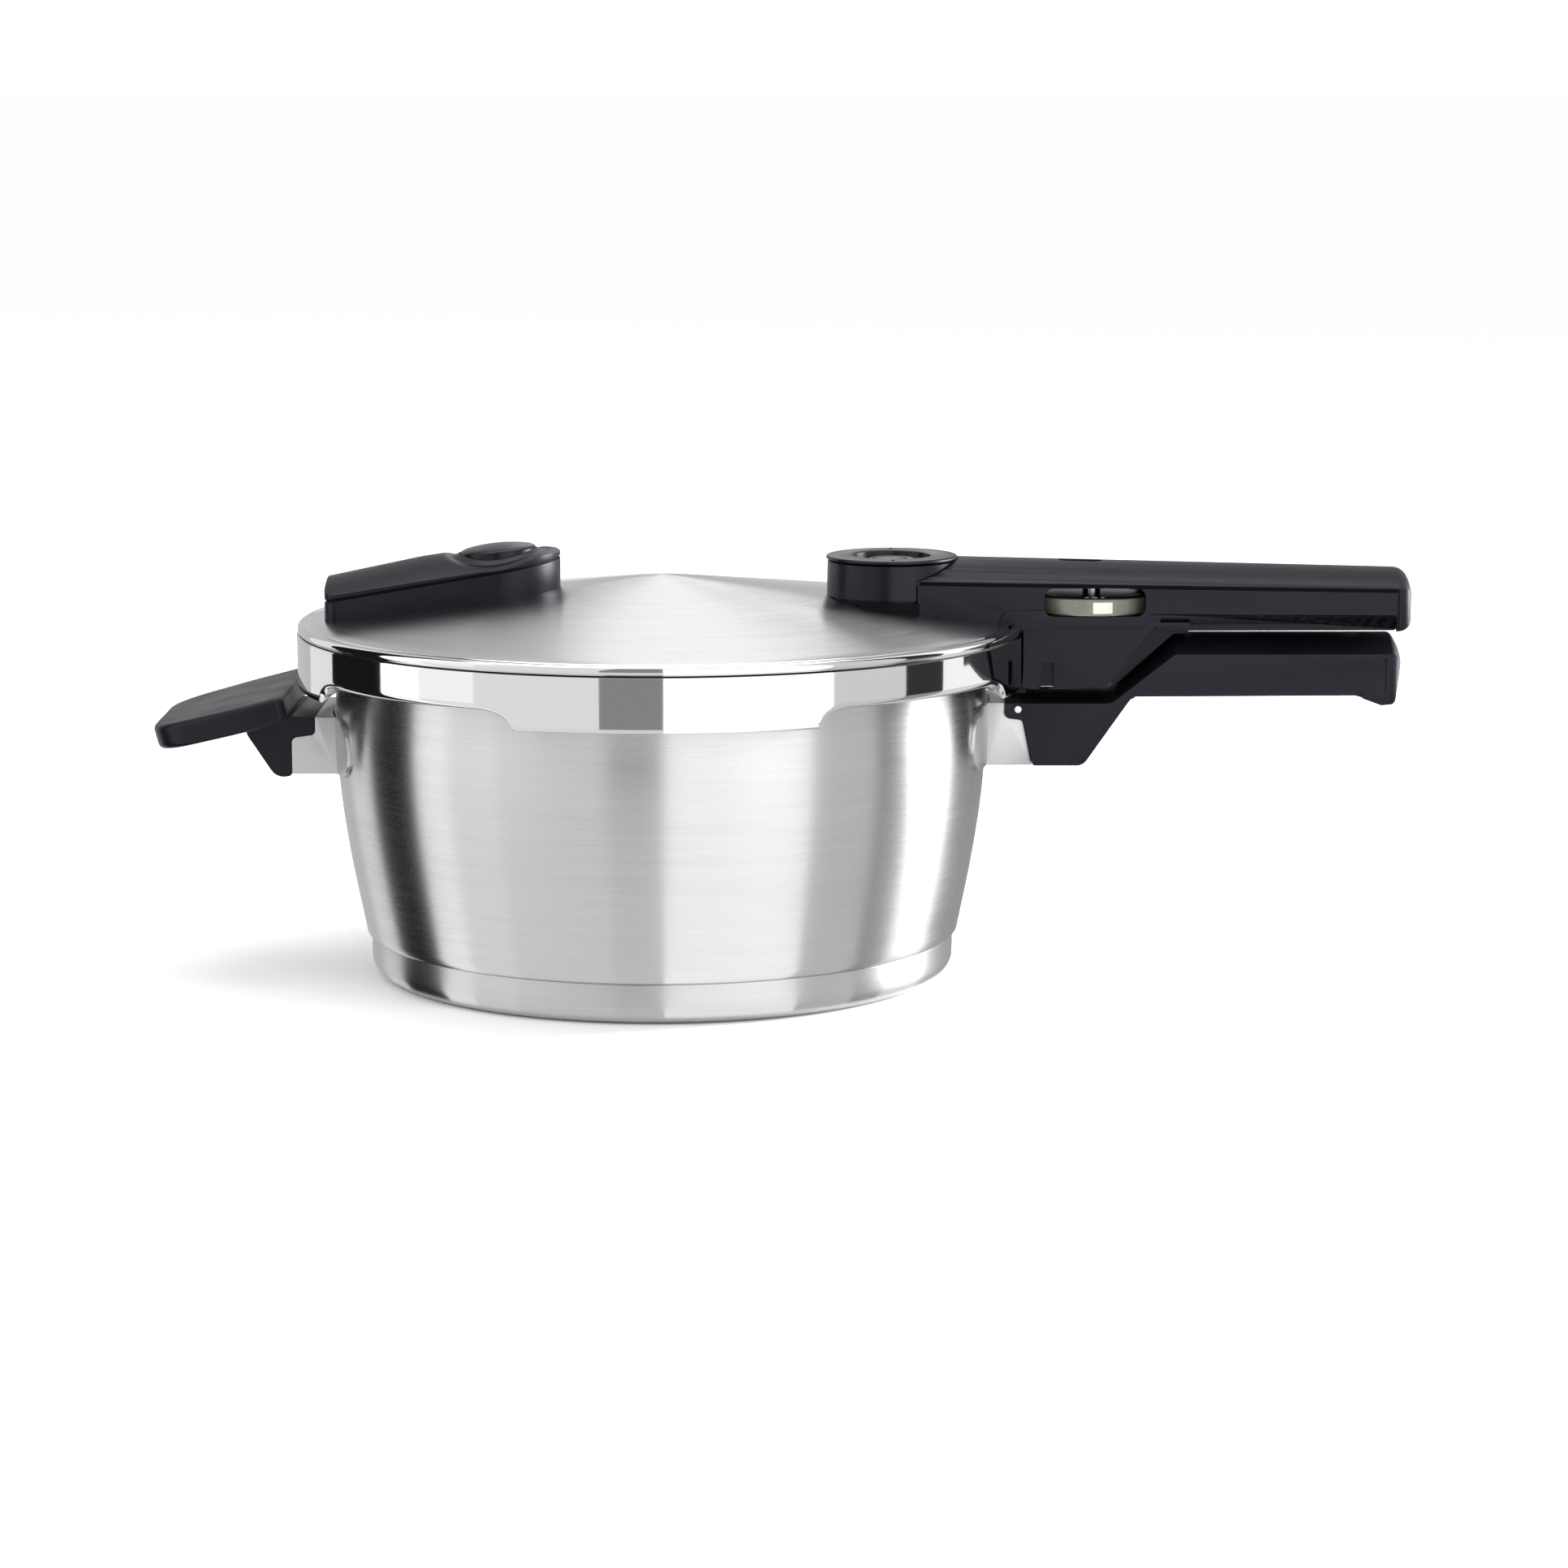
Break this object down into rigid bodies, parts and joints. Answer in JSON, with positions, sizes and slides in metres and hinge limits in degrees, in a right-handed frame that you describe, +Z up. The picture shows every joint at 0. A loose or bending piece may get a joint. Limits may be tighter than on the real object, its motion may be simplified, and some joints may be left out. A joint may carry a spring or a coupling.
{
  "type": "stovetop pressure cooker",
  "caption": "Low stainless-steel stovetop pressure cooker with a bayonet lid, long double handle, side grip, valve head with rising indicator, and lock selector dial.",
  "frame": {"origin": "centre of the base's flat underside, on the pot's axis", "axes": "+Z up along the pot axis, +X along the long handles, -Y towards the side from which the handles are on the right"},
  "size_m": [0.419, 0.2436, 0.1447],
  "materials": {
    "brushed_steel": "horizontally brushed stainless steel",
    "base_steel": "fine satin stainless steel",
    "satin_steel": "bead-blasted satin stainless steel",
    "lid_steel": "circular-brushed cone with a mirror-polished skirt",
    "core_aluminium": "plain",
    "screw_steel": "bright turned steel",
    "black_plastic": "satin black heat-resistant plastic",
    "silicone": "translucent white silicone",
    "ring_orange": "coloured marker rings",
    "ring_grey": "metallised grey band",
    "marker_silver": "silvery marker",
    "flag_green": "green flag",
    "window_clear": "smoked clear plastic"
  },
  "bodies": {
    "pot": {"pot_body": "brushed_steel", "base_core": "core_aluminium", "base_capsule": "base_steel", "handle_bracket": "satin_steel", "handle_sleeve": "satin_steel", "pot_handle": "black_plastic", "pot_handle_screw": "screw_steel", "pot_handle_pin": "screw_steel", "grip_bracket": "satin_steel", "grip_sleeve": "satin_steel", "side_grip": "black_plastic", "side_grip_screw": "screw_steel"},
    "lid": {"lid_shell": "lid_steel", "gasket": "silicone", "lid_handle_top": "black_plastic", "lid_handle_base": "black_plastic", "handle_screws": "screw_steel", "handle_fixing_screw": "screw_steel", "valve_housing": "black_plastic", "valve_nut": "screw_steel", "valve_seal": "silicone", "valve_spring": "screw_steel", "helper_grip": "black_plastic", "helper_grip_pad": "black_plastic", "helper_grip_screw": "screw_steel", "vent_body": "screw_steel", "vent_seal": "silicone", "window_lens": "window_clear", "mechanism_plate": "black_plastic", "dial_pin": "screw_steel", "lock_spring": "screw_steel"},
    "crown": {"valve_crown": "black_plastic"},
    "indicator": {"indicator_pin": "black_plastic", "indicator_rings": "ring_orange"},
    "vent": {"vent_pin": "screw_steel"},
    "selector": {"selector_disc": "black_plastic", "selector_ring": "ring_grey", "selector_marker": "marker_silver"},
    "bolt": {"lock_bolt": "screw_steel"},
    "flag": {"indicator_flag": "flag_green"}
  },
  "joints": [
    {"name": "lid_turn", "type": "hinge", "parent": "pot", "child": "lid", "pos_m": [0, 0, 0.105], "axis": [0, 0, 1], "range_deg": [0, 45]},
    {"name": "crown_turn", "type": "hinge", "parent": "lid", "child": "crown", "pos_m": [0.0773, 0, 0.138], "axis": [0, 0, 1], "range_deg": [0, 30]},
    {"name": "indicator_rise", "type": "slide", "parent": "lid", "child": "indicator", "axis": [0, 0, 1], "range_m": [0, 0.006], "stiffness_N_per_m": 300, "deforming": ["valve_spring"]},
    {"name": "vent_rise", "type": "slide", "parent": "lid", "child": "vent", "axis": [0, 0, 1], "range_m": [0, 0.003]},
    {"name": "selector_turn", "type": "hinge", "parent": "lid", "child": "selector", "pos_m": [0.1443, 0, 0.125], "axis": [0, 0, 1], "range_deg": [0, 60]},
    {"name": "bolt_drop", "type": "slide", "parent": "lid", "child": "bolt", "axis": [0, 0, -1], "range_m": [0, 0.006], "deforming": ["lock_spring"]},
    {"name": "flag_slide", "type": "slide", "parent": "lid", "child": "flag", "axis": [1, 0, 0], "range_m": [0, 0.008]}
  ],
  "couplings": [
    {"joint": "bolt_drop", "follows": "selector_turn", "m_per_rad": 0.005634},
    {"joint": "flag_slide", "follows": "selector_turn", "m_per_rad": 0.007544}
  ]
}
